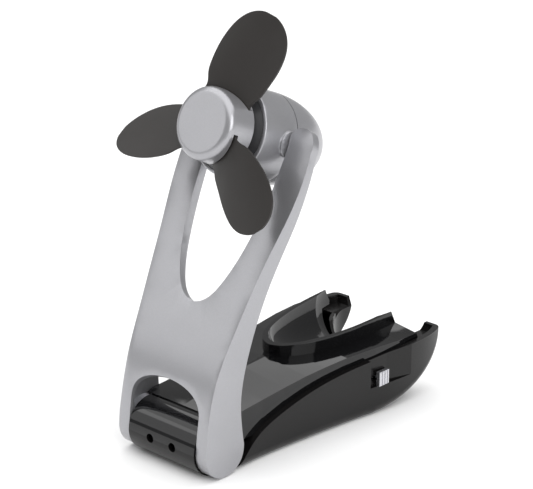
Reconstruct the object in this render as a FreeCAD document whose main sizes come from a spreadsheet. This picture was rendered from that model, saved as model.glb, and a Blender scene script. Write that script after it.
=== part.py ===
"""Folding desk and hand fan: battery base, folding fork arm, tilting motor head, three-blade rotor.

Frame: +X to the side with the slide switch, -Y to the front where the fan blows, +Z up.
The origin is on the floor under the middle of the hinge between the base and the arm.
The arm is drawn in its closed place, along the base, and its placement opens it about the hinge.
The head is drawn about its own blowing axis, local +Z, with its tilt pivot at the local origin.
"""
import FreeCAD, Part
import math
import os

import Sketcher
from FreeCAD import Placement, Rotation, Vector

os.makedirs("parts", exist_ok=True)
doc = FreeCAD.newDocument("FoldingFan")

# ---------------------------------------------------------------- driving dimensions
DIMENSIONS = {
    # hinge between base and arm
    "hinge_height": 12.6,
    "open_angle": 58.5,
    "foot_radius": 12.3,
    "knuckle_radius": 13.2,
    "knuckle_half_width": 21.3,
    "leg_inner": 21.8,
    "hinge_pin_radius": 2.0,
    "hinge_pin_bore": 2.05,
    "hinge_pin_inner_end": 13.5,
    "hinge_pin_outer_end": 27.2,
    "washer_radius": 6.0,
    "washer_thickness": 0.4,
    # base
    "base_end": 148.5,
    "stern_half_width": 34.4,
    "side_wall": 3.05,
    "deck_gap": 0.1,
    "tub_wall": 4.9,
    "floor_thickness": 3.2,
    "deck_wall": 1.8,
    "split_height": 12.55,
    "edge_round": 4.5,
    "trough_axis_height": 41.5,
    "trough_wall": 1.6,
    "lanyard_hole_spacing": 14.3,
    "lanyard_hole_radius": 2.2,
    "stern_cut_radius": 27.0,
    "stern_bay_radius": 23.5,
    "stern_bay_centre": 142.0,
    "stern_bay_wall": 1.8,
    "shelf_height": 27.0,
    "deck_rear_end": 125.0,
    # battery bay
    "battery_radius": 7.25,
    "battery_length": 49.2,
    "battery_tip_radius": 2.75,
    "battery_tip_length": 1.3,
    "battery_offset": 7.6,
    "battery_height": 10.0,
    "battery_start": 19.2,
    "contact_thickness": 0.4,
    "contact_half_width": 13.0,
    "contact_height": 12.0,
    "lid_half_width": 17.4,
    "lid_start": 14.6,
    "lid_length": 58.0,
    "lid_thickness": 1.4,
    "lid_travel": 7.0,
    "lid_clearance": 0.25,
    # slide switch
    "knob_width": 7.0,
    "knob_height": 7.3,
    "knob_depth": 2.4,
    "knob_centre": 101.7,
    "knob_low": 15.3,
    "knob_face": 35.1,
    "knob_travel": 3.6,
    "knob_rib": 0.35,
    "switch_length": 15.0,
    "switch_height": 9.0,
    "switch_depth": 5.0,
    # case screws
    "screw_head_radius": 2.4,
    "screw_head_height": 1.6,
    "screw_radius": 1.2,
    "screw_length": 15.0,
    # arm
    "cover_start": 25.0,
    "cover_end": 133.0,
    "cover_ledge": 0.4,
    "opening_rim": 1.7,
    "arm_end": 147.5,
    "flange_wall": 2.6,
    "arm_skin": 1.5,
    "cover_thickness": 1.1,
    "pivot_reach": 139.1,
    "pivot_height": 39.8,
    "pivot_pin_radius": 1.75,
    "pivot_pin_bore": 1.8,
    "pivot_pin_inner_end": 19.0,
    "pivot_pin_outer_end": 31.0,
    # head, measured forward along its axis from the pivot
    "head_elevation": 21.9,
    "drum_front": 17.4,
    "drum_front_radius": 21.4,
    "drum_seam": -4.6,
    "drum_seam_radius": 21.6,
    "drum_wall": 1.8,
    "seam_gap": 0.35,
    "dome_depth": 35.5,
    "nest_clearance": 0.6,
    "boss_radius": 6.2,
    "boss_end": 22.6,
    "collar_radius": 19.5,
    "motor_radius": 12.0,
    "motor_front": 15.0,
    "motor_rear": -12.0,
    "cap_length": 3.0,
    "shaft_radius": 1.0,
    "shaft_front": 31.0,
    # rotor
    "hub_rear": 21.1,
    "hub_front": 36.3,
    "hub_rear_radius": 17.6,
    "hub_front_radius": 16.6,
    "hub_round": 3.6,
    "hub_wall": 1.5,
    "carrier_radius": 14.4,
    "carrier_rear": 22.3,
    "carrier_front": 33.4,
    "blade_middle": 29.1,
    "blade_root_radius": 13.0,
    "blade_tip_radius": 55.7,
    "blade_root_half": 10.3,
    "blade_lead_half": 14.4,
    "blade_trail_half": 13.1,
    "blade_camber": 0.011,
    "blade_thickness": 1.0,
    "slot_clearance": 0.9,
    "slot_growth": 0.5,
    "blade_phase": 74.5,
}

sheet = doc.addObject("Spreadsheet::Sheet", "Dims")
for row, (alias, value) in enumerate(DIMENSIONS.items(), start=1):
    sheet.set(f"A{row}", alias.replace("_", " "))
    sheet.set(f"B{row}", str(value))
    sheet.setAlias(f"B{row}", alias)
doc.recompute()


def dim(alias):
    """One driving dimension, read back from the sheet."""
    return float(sheet.get(alias))


SUB_PARTS = []


def keep(item, label):
    """Name a finished sub-part, so that it is checked and written."""
    item.Label = label
    SUB_PARTS.append(item)
    return item


# ---------------------------------------------------------------- general helpers
def evaluate(text):
    """Value of an expression that uses the sheet's aliases."""
    names = {alias: dim(alias) for alias in DIMENSIONS}
    total = 0.0
    for term in text.replace("-", "+-").split("+"):
        term = term.strip()
        if not term:
            continue
        sign = 1.0
        if term.startswith("-"):
            sign = -1.0
            term = term[1:].strip()
        factors = 1.0
        for factor in term.split("*"):
            factor = factor.strip()
            factors *= names[factor] if factor in names else float(factor)
        total += sign * factors
    return total


def bound(text):
    """The same expression, written as FreeCAD reads it."""
    words = text.replace("-", " - ").replace("+", " + ").replace("*", " * ").split()
    return " ".join(f"Dims.{word}" if word in DIMENSIONS else word for word in words)


def origin_plane(body, role):
    """The body's own origin plane with this role."""
    return next(plane for plane in body.Origin.OriginFeatures if plane.Role == role)


def polygon_sketch(body, role, corners):
    """A closed outline whose corner places are expressions of the driving dimensions."""
    sketch = body.newObject("Sketcher::SketchObject", body.Name + "Outline")
    sketch.AttachmentSupport = [(origin_plane(body, role), "")]
    sketch.MapMode = "FlatFace"
    places = [Vector(evaluate(a), evaluate(b), 0) for a, b in corners]
    count = len(places)
    for index in range(count):
        sketch.addGeometry(Part.LineSegment(places[index], places[(index + 1) % count]), False)
    for index in range(count):
        following = (index + 1) % count
        sketch.addConstraint(Sketcher.Constraint("Coincident", index, 2, following, 1))
    for index, (across, along) in enumerate(corners):
        for axis_id, kind, text in ((-2, "DistanceX", across), (-1, "DistanceY", along)):
            value = evaluate(text)
            if abs(value) < 1e-9:
                sketch.addConstraint(Sketcher.Constraint("PointOnObject", index, 1, axis_id))
                continue
            number = sketch.addConstraint(Sketcher.Constraint(kind, -1, 1, index, 1, value))
            sketch.setExpression(f"Constraints[{number}]", bound(text))
    doc.recompute()
    return sketch


def turned_body(name, corners):
    """A body turned about its own Z axis from (radius, height) corners."""
    body = doc.addObject("PartDesign::Body", name)
    sketch = polygon_sketch(body, "XZ_Plane", corners)
    turn = body.newObject("PartDesign::Revolution", name + "Turn")
    turn.Profile = sketch
    turn.ReferenceAxis = (sketch, ["V_Axis"])
    turn.Angle = 360.0
    body.Tip = turn
    doc.recompute()
    return body


def padded_body(name, role, corners, length, midplane=False):
    """A body padded from an outline on one of its origin planes."""
    body = doc.addObject("PartDesign::Body", name)
    sketch = polygon_sketch(body, role, corners)
    pad = body.newObject("PartDesign::Pad", name + "Pad")
    pad.Profile = sketch
    pad.Midplane = midplane
    pad.setExpression("Length", bound(length))
    body.Tip = pad
    doc.recompute()
    return body


def shaped(name, shape):
    """A sub-part whose shape is made by the functions below."""
    feature = doc.addObject("Part::Feature", name)
    feature.Shape = shape
    return keep(feature, name)


def spline(points):
    """One smooth edge through a few points."""
    curve = Part.BSplineCurve()
    curve.interpolate([Vector(*point) for point in points])
    return curve.toShape()


def chain(points):
    """Straight edges through the points."""
    places = [Vector(*point) for point in points]
    return [Part.makeLine(a, b) for a, b in zip(places, places[1:])]


def face_of(edges):
    """The flat face inside a closed chain of edges."""
    return Part.Face(Part.Wire(Part.__sortEdges__(edges)))


def mirrored(shape):
    """The shape on the other side of the middle plane."""
    return shape.mirror(Vector(0, 0, 0), Vector(1, 0, 0))


def both_sides(shape):
    """The shape and its mirror image."""
    return shape.fuse(mirrored(shape))


def x_cylinder(radius, start, end, y=0.0, z=None):
    """A cylinder along X, on the hinge axis unless told otherwise."""
    height = dim("hinge_height") if z is None else z
    return Part.makeCylinder(radius, end - start, Vector(start, y, height), Vector(1, 0, 0))


def y_cylinder(radius, start, end, x, z):
    """A cylinder along Y."""
    return Part.makeCylinder(radius, end - start, Vector(x, start, z), Vector(0, 1, 0))


def z_cylinder(radius, low, high, x, y):
    """An upright cylinder."""
    return Part.makeCylinder(radius, high - low, Vector(x, y, low))


def box(low, high):
    """A box between two corners."""
    size = [b - a for a, b in zip(low, high)]
    return Part.makeBox(*size, Vector(*low))


# ---------------------------------------------------------------- outlines shared by base and arm
# half width of the closed fan along its length (distance from the hinge, half width)
HALF_WIDTH = [(0, 28.6), (35, 28.7), (60, 30.8), (88, 34.0), (110, 37.2), (124, 38.0), (137, 37.2)]
# top edge of the lower shell's side wall
LEDGE = [(8.6, 0.0), (14.0, 5.8), (21.3, 12.3), (36.1, 18.9), (61.5, 25.5), (92.5, 29.0), (125, 30.9)]
# top line of the closed arm
ARM_TOP = [(-6.5, 23.2), (10.9, 31.0), (28.9, 36.1), (48.8, 38.1), (69.0, 39.4), (110, 40.6), (147.5, 43.2)]
# lower edge of the closed arm's side flanges
ARM_LOW = [(6.6, 2.2), (14.4, 8.4), (22.7, 14.1), (42.6, 22.4), (70.4, 29.3), (100, 33.0), (130, 36.9),
           (147.5, 38.2)]
# underside of the closed arm's plate
ARM_UNDER = [(-5.0, 21.6), (10.9, 28.5), (28.9, 32.5), (48.8, 34.5), (69.0, 35.2), (90.0, 34.9), (110, 35.7),
             (150, 38.5)]
# the long opening in the arm, from its lower end (half width, distance from the hinge)
OPENING = [(0, 58.6), (8, 62.3), (13.6, 71), (17.6, 82), (21.4, 101), (22.9, 120), (23.5, 139)]
STERN = [(148.5, 31.4), (147.6, 25.0), (143.2, 17.8), (133.0, 9.8), (116.0, 3.0), (98.0, 0.0)]


WIDE = 60.0  # half width of the boxes and prisms that reach right across the object


def side_prism(edges, half_width=WIDE):
    """A closed side view, swept right across the object."""
    face = face_of(edges)
    face.translate(Vector(-half_width, 0, 0))
    return face.extrude(Vector(2 * half_width, 0, 0))


def plan_half_edge(inset, start, end):
    """The right-hand outline of the base, moved in by the inset."""
    points = [(width - inset, along, 0) for along, width in HALF_WIDTH[1:]]
    corner = HALF_WIDTH[0][1] - inset
    stern_corner = (dim("stern_half_width") - inset, end, 0)
    return [Part.makeLine(Vector(corner, start, 0), Vector(corner, 0, 0)),
            spline([(corner, 0, 0)] + points + [stern_corner])]


def plan_prism(inset, start, end, low, high):
    """The base's plan outline, moved in by the inset and raised."""
    right = plan_half_edge(inset, start, end)
    left = [mirrored(edge) for edge in right]
    corner = HALF_WIDTH[0][1] - inset
    stern = dim("stern_half_width") - inset
    ends = [Part.makeLine(Vector(-corner, start, 0), Vector(corner, start, 0)),
            Part.makeLine(Vector(-stern, end, 0), Vector(stern, end, 0))]
    face = face_of(right + left + ends)
    face.translate(Vector(0, 0, low))
    return face.extrude(Vector(0, 0, high - low))


def side_points(table):
    """Side view points (along, up) as places in the middle plane."""
    return [(0, along, up) for along, up in table]


def head_envelope(growth):
    """The head's drum and dome about a +Z axis from the pivot, grown all round."""
    points = [(radius + growth, 0, up) for radius, up in dome_outline(growth)]
    points[-1] = (0, 0, points[-1][2])
    top = dim("drum_front")
    edge = points[0][0]
    closing = chain([points[-1], (0, 0, top), (edge, 0, top), points[0]])
    return face_of([spline(points)] + closing).revolve(Vector(0, 0, 0), Vector(0, 0, 1), 360)


def dome_outline(growth=0.0):
    """Half outline of the head's rear cover from the seam to its end: (radius, height)."""
    depth = dim("dome_depth") + growth
    start = dim("drum_seam") - dim("seam_gap")
    radius = dim("drum_seam_radius")
    points = []
    for step in range(7):
        angle = math.radians(15 * step)
        points.append((radius * math.cos(angle) ** DOME_FULLNESS, start - depth * math.sin(angle)))
    return points


DOME_FULLNESS = 0.85


def nested_head_space():
    """Room in the trough for the head's dome when the hub points straight out of the open end."""
    envelope = head_envelope(dim("nest_clearance"))
    envelope.rotate(Vector(0, 0, 0), Vector(1, 0, 0), -90)
    envelope.translate(Vector(0, dim("pivot_reach"), dim("pivot_height")))
    return envelope


def stern_bay(growth=0.0):
    """Open bay at the stern, right through the base, for the head when the arm is folded down."""
    radius = dim("stern_bay_radius") + growth
    centre = dim("stern_bay_centre")
    round_end = z_cylinder(radius, -5, 80, 0, centre)
    return round_end.fuse(box((-radius, centre, -5), (radius, 170, 80)))


def stern_hook_cut():
    """Round opening between the two stern hooks."""
    return y_cylinder(dim("stern_cut_radius"), 133.5, 160, 0, dim("pivot_height"))


def foot_space():
    """Room for the arm's two round feet beside the knuckle."""
    radius = dim("foot_radius") + 0.5
    return both_sides(x_cylinder(radius, dim("knuckle_half_width"), 45))


def leg_space():
    """Room for the closed arm's two legs above the front corners of the deck."""
    under = [(along, up - 0.4) for along, up in ARM_UNDER[:3]]
    region = side_prism([spline(side_points(under))] + chain(side_points(
        [under[-1], (under[-1][0], 60), (under[0][0], 60), under[0]])))
    return region.cut(box((-dim("knuckle_half_width"), -30, 0), (dim("knuckle_half_width"), 60, 80)))


def knob_slot():
    """Slot through the side of both shells for the stem of the slide switch's knob."""
    middle = dim("knob_centre")
    height = dim("knob_low") + 0.5 * dim("knob_height")
    half_length, half_height = 1.7, 1.3
    start = middle - half_length - dim("knob_travel")
    return box((20, start, height - half_height), (45, middle + half_length, height + half_height))


SCREW_PLACES = [(20.6, 30.0), (-20.6, 30.0), (27.8, 112.0), (-27.8, 112.0)]


# ---------------------------------------------------------------- base
def make_lower_shell():
    """Outer tub: floor, side walls up to the curved ledge, lower half of the hinge knuckle."""
    end = dim("base_end")
    top_line = LEDGE + [(138, 31.0), STERN[0]]
    profile = side_prism([spline(side_points(top_line)), spline(side_points(STERN)),
                          Part.makeLine(Vector(0, *STERN[-1]), Vector(0, *LEDGE[0]))])
    outer = plan_prism(0, -1, end, -1, 45).common(profile)
    floor_edges = [edge for edge in outer.Edges
                   if edge.BoundBox.ZMax < 31.6 and edge.BoundBox.XMin > 26 or
                   edge.BoundBox.ZMax < 31.6 and edge.BoundBox.XMax < -26]
    low_edges = [edge for edge in floor_edges
                 if edge.BoundBox.ZMin < 0.5 and edge.BoundBox.YMax > 60
                 and edge.valueAt(0.5 * (edge.FirstParameter + edge.LastParameter)).z < 14]
    outer = outer.makeFillet(dim("edge_round"), low_edges)
    split = dim("split_height")
    wall = dim("side_wall")
    stern_profile = side_prism([spline(side_points(STERN)),
                                Part.makeLine(Vector(0, 98, 0), Vector(0, 2, 0)),
                                Part.makeLine(Vector(0, 2, 0), Vector(0, 2, 31.4)),
                                Part.makeLine(Vector(0, 2, 31.4), Vector(0, 148.5, 31.4))])
    inner_body = plan_prism(wall, 2, end, 0, split).common(stern_profile)
    half = dim("knuckle_half_width")
    knuckle = x_cylinder(dim("knuckle_radius"), -half, half)
    knuckle = knuckle.common(box((-half, -20, 0), (half, 8, split)))
    bridge = box((-half, 0, 0), (half, 16, split))
    solid = outer.fuse([inner_body, knuckle, bridge])
    # the deck sits inside the side walls
    pocket = plan_prism(wall, -20, end - 2.2, split, 60)
    # hollow of the tub, following the stern
    inner_stern = [(along - 2.0, up + 1.6) for along, up in STERN[:-1]] + [(96.0, dim("floor_thickness"))]
    cavity_profile = side_prism([spline(side_points(inner_stern)),
                                 Part.makeLine(Vector(0, 96, 3.2), Vector(0, 15, 3.2)),
                                 Part.makeLine(Vector(0, 15, 3.2), Vector(0, 15, 60)),
                                 Part.makeLine(Vector(0, 15, 60), Vector(0, 146.5, 60)),
                                 Part.makeLine(Vector(0, 146.5, 60), Vector(0, 146.5, 33.0))])
    cavity = plan_prism(dim("tub_wall"), 15, end, 0, 60).common(cavity_profile)
    nose_hollow = x_cylinder(dim("knuckle_radius") - 2.2, -12, 12)
    nose_hollow = nose_hollow.common(box((-12, -20, 3.2), (12, 9, 60)))
    solid = solid.cut([pocket.common(cavity_profile.fuse(box((-WIDE, -20, split), (WIDE, 60, 60)))),
                       cavity, nose_hollow, foot_space()])
    # wall round the stern bay and shelves that close the two stern corners
    shelf = dim("shelf_height")
    bay_wall = stern_bay(dim("stern_bay_wall")).common(box((-WIDE, 100, -5), (WIDE, 170, shelf)))
    shelves = box((-WIDE, dim("deck_rear_end") + 8, shelf - 1.6), (WIDE, 170, shelf))
    inside = plan_prism(wall - 0.1, 2, end, -5, 60).common(stern_profile)
    solid = solid.fuse([bay_wall.common(inside), shelves.common(inside)])
    solid = solid.cut([stern_bay(), stern_hook_cut(), nested_head_space()])
    # battery opening and the recess that the lid slides in
    lid_half = dim("lid_half_width") + dim("lid_clearance")
    lid_start = dim("lid_start") - dim("lid_clearance")
    lid_end = dim("lid_start") + dim("lid_length") + dim("lid_travel") + dim("lid_clearance")
    solid = solid.cut(box((-lid_half, lid_start, -1), (lid_half, lid_end, 1.7)))
    solid = solid.cut(box((-15.6, 18.6, 0), (15.6, 70.6, 6)))
    # ribs that hold the battery contacts
    for along in (17.0, 71.4):
        solid = solid.fuse(box((-16, along, 2.0), (16, along + 1.2, split)))
    # screw posts
    for across, along in SCREW_PLACES:
        solid = solid.fuse(z_cylinder(3.0, 2.6, split, across, along))
    for across, along in SCREW_PLACES:
        shank = z_cylinder(dim("screw_radius") + 0.05, -1, 20, across, along)
        well = z_cylinder(dim("screw_head_radius") + 0.2, -1, head_depth(along), across, along)
        solid = solid.cut([shank, well])
    # bore for the hinge pins and the two lanyard holes in the knuckle
    pin = x_cylinder(dim("hinge_pin_bore"), dim("hinge_pin_inner_end") - 0.1, 30)
    solid = solid.cut(both_sides(pin))
    spacing = 0.5 * dim("lanyard_hole_spacing")
    for across in (-spacing, spacing):
        solid = solid.cut(y_cylinder(dim("lanyard_hole_radius"), -20, -5, across, dim("hinge_height")))
    # thumb recess and slot of the slide switch
    recess = Part.makePolygon([Vector(33.1, 94.2, 15), Vector(45, 94.2, 15), Vector(45, 122, 15),
                               Vector(38.1, 122, 15), Vector(34.8, 106.2, 15), Vector(33.1, 94.2, 15)])
    solid = solid.cut(Part.Face(recess).extrude(Vector(0, 0, 30)))
    return solid.cut(knob_slot()).removeSplitter()


def head_depth(along):
    """Height of the top of a case screw's head: the floor rises towards the stern."""
    return 2.0 if along < dim("deck_rear_end") - 25 else 3.4


# cross-section stations of the deck: along, half width, side edge height, crest half width, crest height
DECK_STATIONS = [(2.0, 26.2, 0.4, 26.3), (15.0, 27.0, 0.4, 28.4), (28.0, 28.2, 0.4, 30.8),
                 (42.0, 29.9, 0.4, 33.0), (56.0, 31.6, 1.2, 34.2), (68.0, 32.6, 9.0, 34.1),
                 (82.0, 33.5, 15.0, 34.2), (100.0, 33.9, 18.6, 34.6), (116.0, 33.6, 20.0, 35.4),
                 (136.0, 33.0, 20.6, 36.4)]
# trough between the rails: along, inner half width
TROUGH = [(62.0, 0.0), (64.4, 5.0), (70.0, 10.0), (80.0, 14.3), (94.0, 17.6), (112.0, 19.5), (136.0, 20.0)]
# rails round the trough, which fill the closed arm's opening: along, outer half width
RAIL_OUTER = [(59.4, 0.0), (62.8, 7.3), (71.0, 13.0), (82.0, 17.0), (101.0, 20.7), (118.0, 21.7),
              (136.0, 21.8)]
RAIL_TOP = [(56.0, 38.9), (75.0, 40.1), (100.0, 41.2), (136.0, 43.0)]


def deck_half_width(along):
    """Half width of the deck at a distance from the hinge."""
    prism = plan_prism(dim("side_wall") + dim("deck_gap"), -20, dim("base_end"), 0, 1)
    return prism.common(box((0, along, 0), (WIDE, along + 0.01, 1))).BoundBox.XMax


def deck_loft(inset, bottom, drop):
    """The deck's body through its cross-sections, shrunk by an inset for the hollow inside."""
    wires = []
    for along, edge_height, crest, crest_height in DECK_STATIONS:
        half = deck_half_width(along) - inset
        corners = [(-half, bottom), (half, bottom), (half, edge_height - drop), (crest, crest_height - drop),
                   (-crest, crest_height - drop), (-half, edge_height - drop), (-half, bottom)]
        wires.append(Part.makePolygon([Vector(across, along, up) for across, up in corners]))
    return Part.makeLoft(wires, True, True)


def trough_solid(growth, axis_height):
    """A bowl-ended round trough, opening to the stern, grown by a wall."""
    points = [(radius + growth if radius else 0.0, along - (growth if not radius else 0.0), axis_height)
              for along, radius in TROUGH]
    curve = spline(points)
    last = points[-1]
    closing = chain([last, (0, last[1], axis_height), points[0]])
    face = face_of([curve] + closing)
    return face.revolve(Vector(0, 0, axis_height), Vector(0, 1, 0), 360)


def make_upper_deck():
    """Glossy inner body: side channels for the arm, U-shaped rails and the trough for the rotor."""
    bottom = dim("split_height") + 0.05
    body = deck_loft(0, bottom, 0)
    # rails round the trough
    outer = spline([(across, along, 0) for along, across in RAIL_OUTER])
    end, width = RAIL_OUTER[-1]
    closing = Part.makeLine(Vector(width, end, 0), Vector(-width, end, 0))
    rail_plan = face_of([outer, mirrored(outer), closing])
    foot = 20.0
    rail_side = side_prism(chain(side_points(
        [(RAIL_TOP[0][0], foot), (end, foot), *RAIL_TOP[::-1], (RAIL_TOP[0][0], foot)])))
    rails = rail_plan.extrude(Vector(0, 0, 60)).common(rail_side)
    half = dim("knuckle_half_width")
    knuckle = x_cylinder(dim("knuckle_radius"), -half, half)
    knuckle = knuckle.common(box((-half, -20, bottom), (half, 8, 40)))
    solid = body.fuse([rails, knuckle])
    # hollow inside, kept clear of the trough's own wall
    hollow = deck_loft(dim("deck_wall"), bottom - 5, dim("deck_wall"))
    hollow = hollow.common(box((-WIDE, 15, 0), (WIDE, 160, 60)))
    skin = trough_solid(dim("trough_wall"), dim("trough_axis_height"))
    nose_hollow = x_cylinder(dim("knuckle_radius") - 2.2, -12, 12).common(box((-12, -20, 0), (12, 9, 60)))
    solid = solid.cut([hollow.cut(skin), nose_hollow])
    solid = solid.cut(trough_solid(0, dim("trough_axis_height")))
    # posts for the case screws
    for across, along in SCREW_PLACES:
        top = 27.7 if along < 60 else 33.4
        solid = solid.fuse(z_cylinder(2.8, bottom, top, across, along))
        solid = solid.cut(z_cylinder(dim("screw_radius") - 0.1, bottom - 1, bottom + 7, across, along))
    # slanted rear end, room for the stowed head and for the feet
    rear = dim("deck_rear_end")
    high, foot = (rear - 1.2, 44.8), (rear + 7.0, 28.0)
    behind = side_prism(chain(side_points(
        [(high[0], 60), high, foot, (foot[0], 0), (170, 0), (170, 60), (high[0], 60)])))
    solid = solid.cut([behind, stern_bay(dim("stern_bay_wall") + 0.3), nested_head_space()])
    solid = solid.cut([foot_space(), leg_space(), knob_slot()])
    pin = x_cylinder(dim("hinge_pin_bore"), dim("hinge_pin_inner_end") - 0.1, 30)
    solid = solid.cut(both_sides(pin))
    spacing = 0.5 * dim("lanyard_hole_spacing")
    for across in (-spacing, spacing):
        solid = solid.cut(y_cylinder(dim("lanyard_hole_radius"), -20, -5, across, dim("hinge_height")))
    return solid.removeSplitter()


shaped("lower_shell", make_lower_shell())
shaped("upper_deck", make_upper_deck())


# ---------------------------------------------------------------- arm, drawn closed along the base
def arm_plan(inset, rim):
    """Plan outline of the arm: outer edge moved in by the inset, openings widened by the rim."""
    outer = [(HALF_WIDTH[0][1] - inset, 0, 0)]
    outer += [(width - inset, along, 0) for along, width in HALF_WIDTH[1:]]
    start = -dim("foot_radius") - 1 + inset
    right = [Part.makeLine(Vector(outer[0][0], start, 0), Vector(*outer[0])), spline(outer)]
    shift = max(inset, rim)
    inner = [(0, OPENING[0][1] - rim, 0)] + [(half + rim, along, 0) for half, along in OPENING[1:]]
    tip = [inner[-1], (24.6 + rim, 145.6 - shift, 0), (27.8 + 0.5 * rim, 147.4 - shift, 0),
           (32.6 - 0.5 * inset, 147.2 - shift, 0), (36.2 - inset, 143.4, 0), outer[-1]]
    right += [spline(tip), spline(inner)]
    left = [mirrored(edge) for edge in right]
    foot = [Part.makeLine(Vector(-outer[0][0], start, 0), Vector(outer[0][0], start, 0))]
    face = face_of(right + left + foot)
    half, straight = dim("leg_inner") + rim, 9.0
    crown = [(0.86 * half, 16.5 + rim, 0), (0.5 * half, 20.6 + rim, 0), (0, 22.0 + rim, 0)]
    right_side = [(half, straight, 0)] + crown
    left_side = [(-across, along, 0) for across, along, _ in right_side[-2::-1]]
    arch = face_of([spline(right_side + left_side),
                    *chain([(-half, straight, 0), (-half, -30, 0), (half, -30, 0), (half, straight, 0)])])
    return face.cut(arch)


def raised(face, low=-20, high=80):
    """A plan face raised right through the object."""
    moved = face.copy()
    moved.translate(Vector(0, 0, low))
    return moved.extrude(Vector(0, 0, high - low))


def under_region(drop):
    """Everything below the underside of the arm's plate, moved down by the drop."""
    line = [(along, up - drop) for along, up in ARM_UNDER]
    return side_prism([spline(side_points(line))] + chain(side_points(
        [line[-1], (line[-1][0], -30), (line[0][0], -30), line[0]])))


def skin_region(drop):
    """Everything below the arm's top line, moved down by the drop."""
    line = [(along, up - drop) for along, up in ARM_TOP]
    return side_prism([spline(side_points(line))] + chain(side_points(
        [line[-1], (line[-1][0], -30), (line[0][0], -30), line[0]])))


def arm_profile():
    """Side view of the closed arm: round foot, top line, square tip and flange edge."""
    radius = dim("foot_radius")
    height = dim("hinge_height")
    top_start, low_start = ARM_TOP[0], ARM_LOW[0]
    around = Part.Arc(Vector(0, *top_start), Vector(0, -0.83 * radius, height - 0.5577 * radius),
                      Vector(0, *low_start)).toShape()
    return side_prism([around, spline(side_points(ARM_TOP)), spline(side_points(ARM_LOW)),
                       Part.makeLine(Vector(0, *ARM_TOP[-1]), Vector(0, *ARM_LOW[-1]))])


def arm_cuts():
    """Bores through the feet and the fork tips."""
    reach, height = dim("pivot_reach"), dim("pivot_height")
    hinge = x_cylinder(dim("hinge_pin_bore"), 10, dim("hinge_pin_outer_end") + 0.1)
    tip = x_cylinder(dim("pivot_pin_bore"), 10, dim("pivot_pin_outer_end") + 0.1, reach, height)
    return [both_sides(hinge), both_sides(tip)]


def cover_region(gap):
    """Room for the back cover: inside the flanges and outside the openings, less a gap all round."""
    start, end = dim("cover_start") + gap, dim("cover_end") - gap
    plan = raised(arm_plan(dim("flange_wall") + dim("cover_ledge") + gap, dim("opening_rim") + gap))
    return plan.common(box((-WIDE, start, 0), (WIDE, end, 80)))


def make_arm_front_shell():
    """Silver front shell: outer skin, side flanges, feet and fork tips."""
    solid = raised(arm_plan(0, 0)).common(arm_profile())
    below = plan_prism(dim("flange_wall"), -1, dim("arm_end"), -20, 80).common(under_region(0))
    below = below.common(box((-WIDE, 0, -20), (WIDE, dim("cover_end"), 80)))
    feet = both_sides(x_cylinder(dim("foot_radius") + 0.05, dim("leg_inner") - 1, 40))
    hollow = cover_region(0).common(skin_region(dim("arm_skin")))
    return solid.cut(below.cut(feet)).cut(hollow).cut(arm_cuts())


def make_arm_back_cover():
    """Thin back plate that closes the hollow fork."""
    plate = under_region(-dim("cover_thickness")).cut(under_region(0))
    return cover_region(0.1).common(plate)


arm_place = Placement(Vector(0, 0, 0), Rotation(Vector(1, 0, 0), dim("open_angle")),
                      Vector(0, 0, dim("hinge_height")))


def placed(item, placement):
    """Put a sub-part that was drawn in its own frame where it belongs."""
    item.Placement = placement.multiply(item.Placement)
    return item


placed(shaped("arm_front_shell", make_arm_front_shell()), arm_place)
placed(shaped("arm_back_cover", make_arm_back_cover()), arm_place)


# ---------------------------------------------------------------- base fittings
def battery(name, across):
    """One AA cell with its raised tip, lying along the base."""
    item = turned_body(name, [("0", "0"), ("battery_radius", "0"), ("battery_radius", "battery_length"),
                              ("battery_tip_radius", "battery_length"),
                              ("battery_tip_radius", "battery_length + battery_tip_length"),
                              ("0", "battery_length + battery_tip_length")])
    item.Placement = Placement(Vector(across, dim("battery_start"), dim("battery_height")),
                               Rotation(Vector(1, 0, 0), -90))
    return keep(item, name)


battery("battery_1", dim("battery_offset"))
battery("battery_2", -dim("battery_offset"))


def contact(name, along, bow):
    """A bent strip of spring metal that bridges or feeds the two cells."""
    half = dim("contact_half_width")
    thickness = dim("contact_thickness")
    low = dim("floor_thickness") + 0.3
    plate = box((-half, along, low), (half, along + thickness, low + dim("contact_height") - 3.0))
    solid = plate
    for across in (-dim("battery_offset"), dim("battery_offset")):
        root, tip, side = low + 3, low + 7, across - 2
        tongue = face_of(chain([(side, along, root), (side, along + bow, tip),
                                (side, along + bow + thickness, tip), (side, along + thickness, root),
                                (side, along, root)]))
        solid = solid.fuse(tongue.extrude(Vector(4, 0, 0)))
    return shaped(name, solid.removeSplitter())


contact("battery_contact_front", 18.25, 0.45)
contact("battery_contact_rear", 70.9, -0.12)

lid = padded_body("battery_lid", "XY_Plane",
                  [("-lid_half_width", "lid_start"), ("lid_half_width", "lid_start"),
                   ("lid_half_width", "lid_start + lid_length"),
                   ("-lid_half_width", "lid_start + lid_length")],
                  "lid_thickness")
lid.Placement = Placement(Vector(0, 0, 0.2), Rotation())
keep(lid, "battery_lid")

knob_start = dim("knob_centre") - 0.5 * dim("knob_width")
knob_face = dim("knob_face")
knob_middle = dim("knob_low") + 0.5 * dim("knob_height")
knob_top = dim("knob_low") + dim("knob_height")
knob = box((knob_face, knob_start, dim("knob_low")),
           (knob_face + dim("knob_depth"), knob_start + dim("knob_width"), knob_top))
knob = knob.makeFillet(0.5, [edge for edge in knob.Edges if edge.BoundBox.XMin > knob_face + 1])
for step in range(-1, 2):
    groove = dim("knob_centre") + step * 1.9
    knob = knob.cut(box((knob_face + dim("knob_depth") - dim("knob_rib"), groove - 0.45, 0),
                        (knob_face + 5, groove + 0.45, 40)))
knob = knob.fuse(box((27.2, dim("knob_centre") - 1.4, knob_middle - 1.1),
                     (knob_face, dim("knob_centre") + 1.4, knob_middle + 1.1)))
shaped("switch_knob", knob.removeSplitter())

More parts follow.
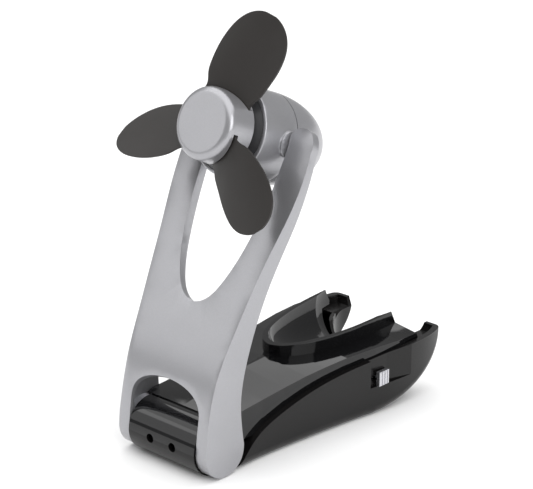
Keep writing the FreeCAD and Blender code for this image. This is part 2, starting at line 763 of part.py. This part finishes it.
switch_start = dim("knob_centre") - 0.5 * dim("knob_travel") - 0.5 * dim("switch_length")
switch_low = knob_middle - 0.5 * dim("switch_height")
switch = box((27.0 - dim("switch_depth"), switch_start, switch_low),
             (27.0, switch_start + dim("switch_length"), switch_low + dim("switch_height")))
for end in (switch_start + 2.5, switch_start + 7.5, switch_start + 12.5):
    switch = switch.fuse(box((19.6, end - 0.3, knob_middle - 1), (22.1, end + 0.3, knob_middle + 1)))
shaped("switch_body", switch.removeSplitter())

screws = None
for across, along in SCREW_PLACES:
    low = head_depth(along) - dim("screw_head_height")
    screw = z_cylinder(dim("screw_head_radius"), low, low + dim("screw_head_height"), across, along)
    screw = screw.fuse(z_cylinder(dim("screw_radius") - 0.15, low, low + dim("screw_length"), across, along))
    screw = screw.cut(box((across - 1.6, along - 0.35, low - 1), (across + 1.6, along + 0.35, low + 0.7)))
    screw = screw.cut(box((across - 0.35, along - 1.6, low - 1), (across + 0.35, along + 1.6, low + 0.7)))
    screws = screw if screws is None else screws.fuse(screw)
shaped("case_screws", screws)


def hinge_pin(name, side):
    """A steel pin from the knuckle into one foot."""
    item = turned_body(name, [("0", "hinge_pin_inner_end"), ("hinge_pin_radius", "hinge_pin_inner_end"),
                              ("hinge_pin_radius", "hinge_pin_outer_end"), ("0", "hinge_pin_outer_end")])
    item.Placement = Placement(Vector(0, 0, dim("hinge_height")), Rotation(Vector(0, 1, 0), 90 * side))
    return keep(item, name)


hinge_pin("hinge_pin_right", 1)
hinge_pin("hinge_pin_left", -1)

washer_start = dim("knuckle_half_width") + 0.03
washer = x_cylinder(dim("washer_radius"), washer_start, washer_start + dim("washer_thickness"))
washer = washer.cut(x_cylinder(dim("hinge_pin_radius") + 0.15, 10, 30))
shaped("friction_washers", both_sides(washer))

# ---------------------------------------------------------------- head, drawn about its own axis
pivot = arm_place.multVec(Vector(0, dim("pivot_reach"), dim("pivot_height")))
head_place = Placement(pivot, Rotation(Vector(1, 0, 0), 90 - dim("head_elevation")))


def head_cylinder(radius, start, end):
    """A cylinder along the tilt axis of the head."""
    return Part.makeCylinder(radius, end - start, Vector(start, 0, 0), Vector(1, 0, 0))


def dome_solid(inset):
    """The rear cover's outer or inner volume."""
    points = [(radius - inset * (radius > 1), 0, up) for radius, up in dome_outline(-inset)]
    points[-1] = (0, 0, points[-1][2])
    closing = chain([points[-1], (0, 0, points[0][2]), points[0]])
    face = face_of([spline(points)] + closing)
    return face.revolve(Vector(0, 0, 0), Vector(0, 0, 1), 360)


drum = turned_body("drum", [("drum_front_radius - drum_wall", "drum_front"),
                            ("drum_front_radius", "drum_front"), ("drum_seam_radius", "drum_seam"),
                            ("drum_seam_radius - drum_wall", "drum_seam")])
drum_turn = drum.Tip
round_front = drum.newObject("PartDesign::Fillet", "drumRound")
rim_edge = [f"Edge{number + 1}" for number, edge in enumerate(drum_turn.Shape.Edges)
            if abs(edge.BoundBox.ZMax - dim("drum_front")) < 0.01 and edge.BoundBox.ZLength < 0.01
            and edge.BoundBox.XMax > dim("drum_front_radius") - 0.1]
round_front.Base = (drum_turn, rim_edge)
round_front.Radius = 0.8
drum.Tip = round_front
doc.recompute()


def make_head_housing():
    """Front drum with the two pivot bosses and the web that carries the motor."""
    web = Part.makeCylinder(dim("drum_seam_radius") - 1, 1.6, Vector(0, 0, 5))
    web = web.cut(Part.makeCylinder(dim("motor_radius") + 0.1, 10, Vector(0, 0, 0)))
    boss = both_sides(head_cylinder(dim("boss_radius"), 17.2, dim("boss_end")))
    solid = drum.Shape.fuse([web, boss])
    return solid.cut(both_sides(head_cylinder(dim("pivot_pin_bore"), 15, 40))).removeSplitter()


def make_rear_cover():
    """Domed rear cover, notched round the pivot bosses, with air slots round its back."""
    solid = dome_solid(0).cut(dome_solid(1.6))
    solid = solid.cut(both_sides(head_cylinder(dim("boss_radius") + 0.15, 15, 40)))
    return solid


placed(shaped("head_housing", make_head_housing()), head_place)
placed(shaped("head_rear_cover", make_rear_cover()), head_place)

collar = turned_body("collar_ring", [("shaft_radius + 3", "drum_front - 2"),
                                     ("collar_radius", "drum_front - 2"),
                                     ("collar_radius", "drum_front"), ("carrier_radius", "hub_rear - 0.9"),
                                     ("shaft_radius + 3", "hub_rear - 0.9")])
placed(keep(collar, "collar_ring"), head_place)

motor = turned_body("motor_can", [("0", "motor_rear"), ("motor_radius", "motor_rear"),
                                  ("motor_radius", "motor_front - 1"), ("motor_radius - 1", "motor_front"),
                                  ("3", "motor_front"), ("3", "motor_front - 3"), ("0", "motor_front - 3")])
placed(keep(motor, "motor_can"), head_place)
cap = turned_body("motor_end_cap", [("0", "motor_rear - cap_length"),
                                    ("motor_radius - 2", "motor_rear - cap_length"),
                                    ("motor_radius - 0.4", "motor_rear - 1"),
                                    ("motor_radius - 0.4", "motor_rear"), ("0", "motor_rear")])
placed(keep(cap, "motor_end_cap"), head_place)
bearing = turned_body("motor_bearing", [("shaft_radius + 0.05", "motor_front - 3"),
                                        ("2.95", "motor_front - 3"), ("2.95", "motor_front + 1"),
                                        ("shaft_radius + 0.05", "motor_front + 1")])
placed(keep(bearing, "motor_bearing"), head_place)


def pivot_pin(name, side):
    """A short pin from one fork tip into the head's boss."""
    item = turned_body(name, [("0", "pivot_pin_inner_end"), ("pivot_pin_radius", "pivot_pin_inner_end"),
                              ("pivot_pin_radius", "pivot_pin_outer_end"), ("0", "pivot_pin_outer_end")])
    item.Placement = Placement(pivot, Rotation(Vector(0, 1, 0), 90 * side))
    return keep(item, name)


pivot_pin("pivot_pin_right", 1)
pivot_pin("pivot_pin_left", -1)

# ---------------------------------------------------------------- rotor
shaft = turned_body("motor_shaft", [("0", "motor_front - 2.9"), ("shaft_radius", "motor_front - 2.9"),
                                    ("shaft_radius", "shaft_front"), ("0", "shaft_front")])
placed(keep(shaft, "motor_shaft"), head_place)
carrier = turned_body("blade_carrier", [("shaft_radius", "carrier_rear"),
                                        ("carrier_radius - 1.6", "carrier_rear"),
                                        ("carrier_radius - 1.6", "carrier_front"),
                                        ("0", "carrier_front"), ("0", "shaft_front"),
                                        ("shaft_radius", "shaft_front")])
placed(keep(carrier, "blade_carrier"), head_place)

# the soft blades do not all hang alike: twist at the root and at the tip in degrees, lean along the axis
BLADES = [(25.4, 22.6, -0.058), (25.4, 39.9, -0.006), (16.2, -9.7, -0.066)]
LEAD_WIDEST, TRAIL_WIDEST = 0.43, 0.52
BLADE_PLACES = [0, 0.15, 0.3, 0.45, 0.6, 0.75, 0.86, 0.93, 0.975, 0.994]


def half_chord(place, widest, widest_place):
    """Half chord at a fraction of the blade's length: it swells, then rounds off to the tip."""
    root = dim("blade_root_half")
    if place < widest_place:
        return root + (widest - root) * math.sin(0.5 * math.pi * max(place, 0) / widest_place) ** 1.2
    return widest * math.sqrt(1 - ((place - widest_place) / (1 - widest_place)) ** 2.4)


def blade_section(hang, place, thickness, growth):
    """One bowed and twisted cross-section of a blade that points along +X."""
    root_twist, tip_twist, lean = hang
    length = (dim("blade_tip_radius") - dim("blade_root_radius")) * place
    slope = math.tan(math.radians(root_twist + (tip_twist - root_twist) * place))
    start = -half_chord(place, dim("blade_trail_half"), TRAIL_WIDEST) - growth
    chord = half_chord(place, dim("blade_lead_half"), LEAD_WIDEST) + growth - start
    low, high = [], []
    for step in range(5):
        across = start + 0.25 * step * chord
        up = dim("blade_middle") + slope * across + lean * length - dim("blade_camber") * across ** 2
        low.append((dim("blade_root_radius") + length, across, up - 0.5 * thickness))
        high.append((dim("blade_root_radius") + length, across, up + 0.5 * thickness))
    sides = chain([low[-1], high[-1]]) + chain([high[0], low[0]])
    return Part.Wire([spline(low), sides[0], spline(high[::-1]), sides[1]])


def blade_solid(hang, places, thickness, growth=0.0):
    """A blade, or the room for one, through its cross-sections."""
    return Part.makeLoft([blade_section(hang, place, thickness, growth) for place in places], True, False)


def turned(shape, angle):
    """The shape turned about the rotor's axis."""
    copy = shape.copy()
    copy.rotate(Vector(0, 0, 0), Vector(0, 0, 1), angle)
    return copy


def make_spinner():
    """Silver spinner cap: a cup with a rounded front edge and one helical slot for each blade."""
    rear, front = dim("hub_rear"), dim("hub_front")
    wall = dim("hub_wall")
    outer = Part.makeCone(dim("hub_rear_radius"), dim("hub_front_radius"), front - rear, Vector(0, 0, rear))
    front_edge = [edge for edge in outer.Edges if edge.BoundBox.ZMin > front - 0.01]
    outer = outer.makeFillet(dim("hub_round"), front_edge)
    inner = Part.makeCone(dim("hub_rear_radius") - wall, dim("hub_front_radius") - wall, front - rear - wall,
                          Vector(0, 0, rear))
    inner_edge = [edge for edge in inner.Edges if edge.BoundBox.ZMin > front - wall - 0.01]
    inner = inner.makeFillet(dim("hub_round") - wall, inner_edge)
    solid = outer.cut(inner)
    room = dim("blade_thickness") + 2 * dim("slot_clearance")
    for number, hang in enumerate(BLADES):
        slot = blade_solid(hang, [-0.06, 0.02, 0.1, 0.2], room, dim("slot_growth"))
        solid = solid.cut(turned(slot, dim("blade_phase") + 120 * number))
    return solid


placed(shaped("spinner_cap", make_spinner()), head_place)
for number, hang in enumerate(BLADES):
    blade = blade_solid(hang, BLADE_PLACES, dim("blade_thickness"))
    placed(shaped(f"blade_{number + 1}", turned(blade, dim("blade_phase") + 120 * number)), head_place)


# ---------------------------------------------------------------- checks and files
doc.recompute()
for item in doc.Objects:
    if "Invalid" in item.State or "Error" in item.State:
        raise RuntimeError(f"{item.Name} failed: {item.State}")
for item in SUB_PARTS:
    if item.Shape.isNull() or not item.Shape.isValid():
        raise RuntimeError(f"{item.Label} has no valid shape")
for item in SUB_PARTS:
    item.Shape.exportStep(f"parts/{item.Label}.step")
    print(item.Label, len(item.Shape.Solids), round(item.Shape.Volume, 1))
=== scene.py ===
"""Folding desk and hand fan: finishes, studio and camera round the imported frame.

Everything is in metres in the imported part's own frame: +X is the switch side, -Y the front, +Z up.
"""

import math

import bpy
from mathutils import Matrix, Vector

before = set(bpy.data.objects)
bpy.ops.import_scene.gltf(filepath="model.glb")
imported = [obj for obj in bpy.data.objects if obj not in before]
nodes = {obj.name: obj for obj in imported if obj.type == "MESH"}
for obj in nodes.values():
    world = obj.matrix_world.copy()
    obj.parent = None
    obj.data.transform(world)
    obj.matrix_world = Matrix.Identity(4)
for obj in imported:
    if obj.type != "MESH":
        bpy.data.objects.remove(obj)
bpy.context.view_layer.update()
MM = 0.001

NOISE_LOW, NOISE_HIGH = 0.3, 0.7
SHEEN_GRAIN = 9 * MM
SHEEN_SPREAD = 0.05
BUMP_STRENGTH = 0.5
SMOOTH_ANGLE = math.radians(32)
WELD_GAP = 0.002 * MM
ROUNDING_SEGMENTS = 3
ROUNDING_ANGLE = math.radians(40)


# ---------------------------------------------------------------- finishes
def add_node(tree, kind, **inputs):
    """A shader node with its sockets set by name."""
    node = tree.nodes.new(kind)
    for key, value in inputs.items():
        node.inputs[key.replace("_", " ")].default_value = value
    return node


def noise(tree, where, size, detail):
    """Noise whose grains are about this big, in metres."""
    grain = add_node(tree, "ShaderNodeTexNoise", Scale=1.0 / size, Detail=detail)
    tree.links.new(where.outputs["Object"], grain.inputs["Vector"])
    return grain.outputs["Fac"]


def ranged(tree, source, low, high):
    """A noise value spread between two limits."""
    spread = add_node(tree, "ShaderNodeMapRange", From_Min=NOISE_LOW, From_Max=NOISE_HIGH,
                      To_Min=low, To_Max=high)
    tree.links.new(source, spread.inputs["Value"])
    return spread.outputs["Result"]


def finish(name, colour, metallic, roughness,
           grain=0.4 * MM, relief=0.01 * MM, tint=0.05, gloss=0.5):
    """A moulded or coated surface: uneven sheen, fine grain and a slight drift of colour."""
    made = bpy.data.materials.new(name)
    made.use_nodes = True
    tree = made.node_tree
    shader = tree.nodes["Principled BSDF"]
    shader.inputs["Metallic"].default_value = metallic
    shader.inputs["Specular IOR Level"].default_value = gloss
    where = tree.nodes.new("ShaderNodeTexCoord")
    uneven = noise(tree, where, SHEEN_GRAIN, 3)
    sheen = ranged(tree, uneven, roughness * (1 - SHEEN_SPREAD), roughness * (1 + SHEEN_SPREAD))
    tree.links.new(sheen, shader.inputs["Roughness"])
    mixed = tree.nodes.new("ShaderNodeMix")
    mixed.data_type = "RGBA"
    mixed.inputs["A"].default_value = [part * (1 - tint) for part in colour] + [1]
    mixed.inputs["B"].default_value = [part * (1 + tint) for part in colour] + [1]
    tree.links.new(ranged(tree, noise(tree, where, grain, 2), 0, 1), mixed.inputs["Factor"])
    tree.links.new(mixed.outputs["Result"], shader.inputs["Base Color"])
    bump = add_node(tree, "ShaderNodeBump", Distance=relief, Strength=BUMP_STRENGTH)
    tree.links.new(noise(tree, where, grain, 2), bump.inputs["Height"])
    tree.links.new(bump.outputs["Normal"], shader.inputs["Normal"])
    return made


SILVER = finish("silver_lacquer", (0.385, 0.385, 0.403), 0.7, 0.3, grain=0.25 * MM, tint=0.08)
BRIGHT = finish("bright_lacquer", (0.62, 0.62, 0.65), 0.9, 0.24, grain=0.2 * MM)
GLOSS = finish("gloss_black", (0.004, 0.004, 0.0045), 0.0, 0.06,
               grain=3 * MM, relief=0.003 * MM, gloss=0.45)
CHARCOAL = finish("charcoal_shell", (0.006, 0.0055, 0.0055), 0.0, 0.2,
                  grain=0.5 * MM, relief=0.004 * MM, gloss=0.3)
DARK = finish("dark_moulding", (0.03, 0.03, 0.032), 0.0, 0.45)
BLACK = finish("black_moulding", (0.02, 0.02, 0.02), 0.0, 0.55)
SOFT = finish("soft_blade", (0.017, 0.0145, 0.013), 0.0, 0.5, grain=0.5 * MM, relief=0.02 * MM)
JACKET = finish("cell_jacket", (0.25, 0.25, 0.27), 0.6, 0.3)
STEEL = finish("plated_steel", (0.6, 0.6, 0.62), 1.0, 0.3, grain=0.15 * MM)
BRASS = finish("bearing_brass", (0.7, 0.5, 0.2), 1.0, 0.35)

NODE_FINISH = {
    "lower_shell": CHARCOAL, "upper_deck": GLOSS, "battery_lid": CHARCOAL,
    "arm_front_shell": SILVER, "arm_back_cover": SILVER, "head_housing": SILVER,
    "head_rear_cover": SILVER, "spinner_cap": SILVER, "switch_knob": BRIGHT,
    "switch_body": BLACK, "friction_washers": BLACK, "motor_end_cap": BLACK, "blade_carrier": BLACK,
    "collar_ring": DARK, "blade_1": SOFT, "blade_2": SOFT, "blade_3": SOFT,
    "battery_1": JACKET, "battery_2": JACKET, "motor_bearing": BRASS,
}
EDGE_ROUNDING = {"arm_front_shell": 1.3 * MM, "head_housing": 0.3 * MM}


def smooth(item):
    """Smooth shading that keeps the real corners."""
    item.data.shade_smooth()
    with bpy.context.temp_override(object=item, active_object=item, selected_objects=[item],
                                   selected_editable_objects=[item]):
        bpy.ops.object.shade_smooth_by_angle(angle=SMOOTH_ANGLE)


def round_edges(item, width):
    """Small moulded rounding on every sharp edge of the piece."""
    weld = item.modifiers.new("weld", "WELD")
    weld.merge_threshold = WELD_GAP
    bevel = item.modifiers.new("rounding", "BEVEL")
    bevel.width = width
    bevel.segments = ROUNDING_SEGMENTS
    bevel.limit_method = "ANGLE"
    bevel.angle_limit = ROUNDING_ANGLE
    bevel.harden_normals = True


for name, item in nodes.items():
    item.data.materials.clear()
    item.data.materials.append(NODE_FINISH.get(name, STEEL))
    smooth(item)
    if name in EDGE_ROUNDING:
        round_edges(item, EDGE_ROUNDING[name])


# ---------------------------------------------------------------- studio
def stage_plane(name, size, colour):
    """The floor, which isn't part of the object."""
    bpy.ops.mesh.primitive_plane_add(size=size, location=(0, 0, 0))
    plane = bpy.context.object
    plane.name = name
    shade = bpy.data.materials.new(name)
    shade.use_nodes = True
    shader = shade.node_tree.nodes["Principled BSDF"]
    shader.inputs["Base Color"].default_value = (*colour, 1)
    shader.inputs["Roughness"].default_value = 0.9
    plane.data.materials.append(shade)


def soft_light(name, place, aim, size, power):
    """A square studio light."""
    lamp = bpy.data.lights.new(name, "AREA")
    lamp.size = size
    lamp.energy = power
    holder = bpy.data.objects.new(name, lamp)
    bpy.context.scene.collection.objects.link(holder)
    holder.location = place
    holder.rotation_euler = (Vector(aim) - Vector(place)).to_track_quat("-Z", "Y").to_euler()


FLOOR_SIZE = 30
FLOOR_TONE = 0.95
WORLD_LIGHT = 0.38
AIM = (0.0, 0.04, 0.1)

stage_plane("floor", FLOOR_SIZE, (FLOOR_TONE, FLOOR_TONE, FLOOR_TONE))
world = bpy.data.worlds.new("studio")
world.use_nodes = True
world.node_tree.nodes["Background"].inputs["Color"].default_value = (1, 1, 1, 1)
world.node_tree.nodes["Background"].inputs["Strength"].default_value = WORLD_LIGHT
bpy.context.scene.world = world
soft_light("ceiling", place=(-0.3, 0.6, 2.4), aim=(-0.3, 0.6, 0.0), size=5.0, power=115)
soft_light("key", place=(-1.5, -1.4, 1.1), aim=AIM, size=1.5, power=7)
soft_light("side", place=(1.7, -0.3, 0.9), aim=AIM, size=1.2, power=14)
bpy.context.scene.view_settings.view_transform = "Standard"

# ---------------------------------------------------------------- camera
CAMERA_AIM = Vector((0.0090, 0.04815, 0.09504))
AZIMUTH, ELEVATION = math.radians(42.909), math.radians(20.024)
DISTANCE = 0.8914
LENS = 130.5
NEAR_CLIP = 0.01
toward = Vector((math.sin(AZIMUTH) * math.cos(ELEVATION), -math.cos(AZIMUTH) * math.cos(ELEVATION),
                 math.sin(ELEVATION)))
lens = bpy.data.cameras.new("camera")
lens.lens = LENS
lens.clip_start = NEAR_CLIP
camera = bpy.data.objects.new("camera", lens)
bpy.context.scene.collection.objects.link(camera)
camera.location = CAMERA_AIM + toward * DISTANCE
camera.rotation_euler = (-toward).to_track_quat("-Z", "Y").to_euler()
bpy.context.scene.camera = camera
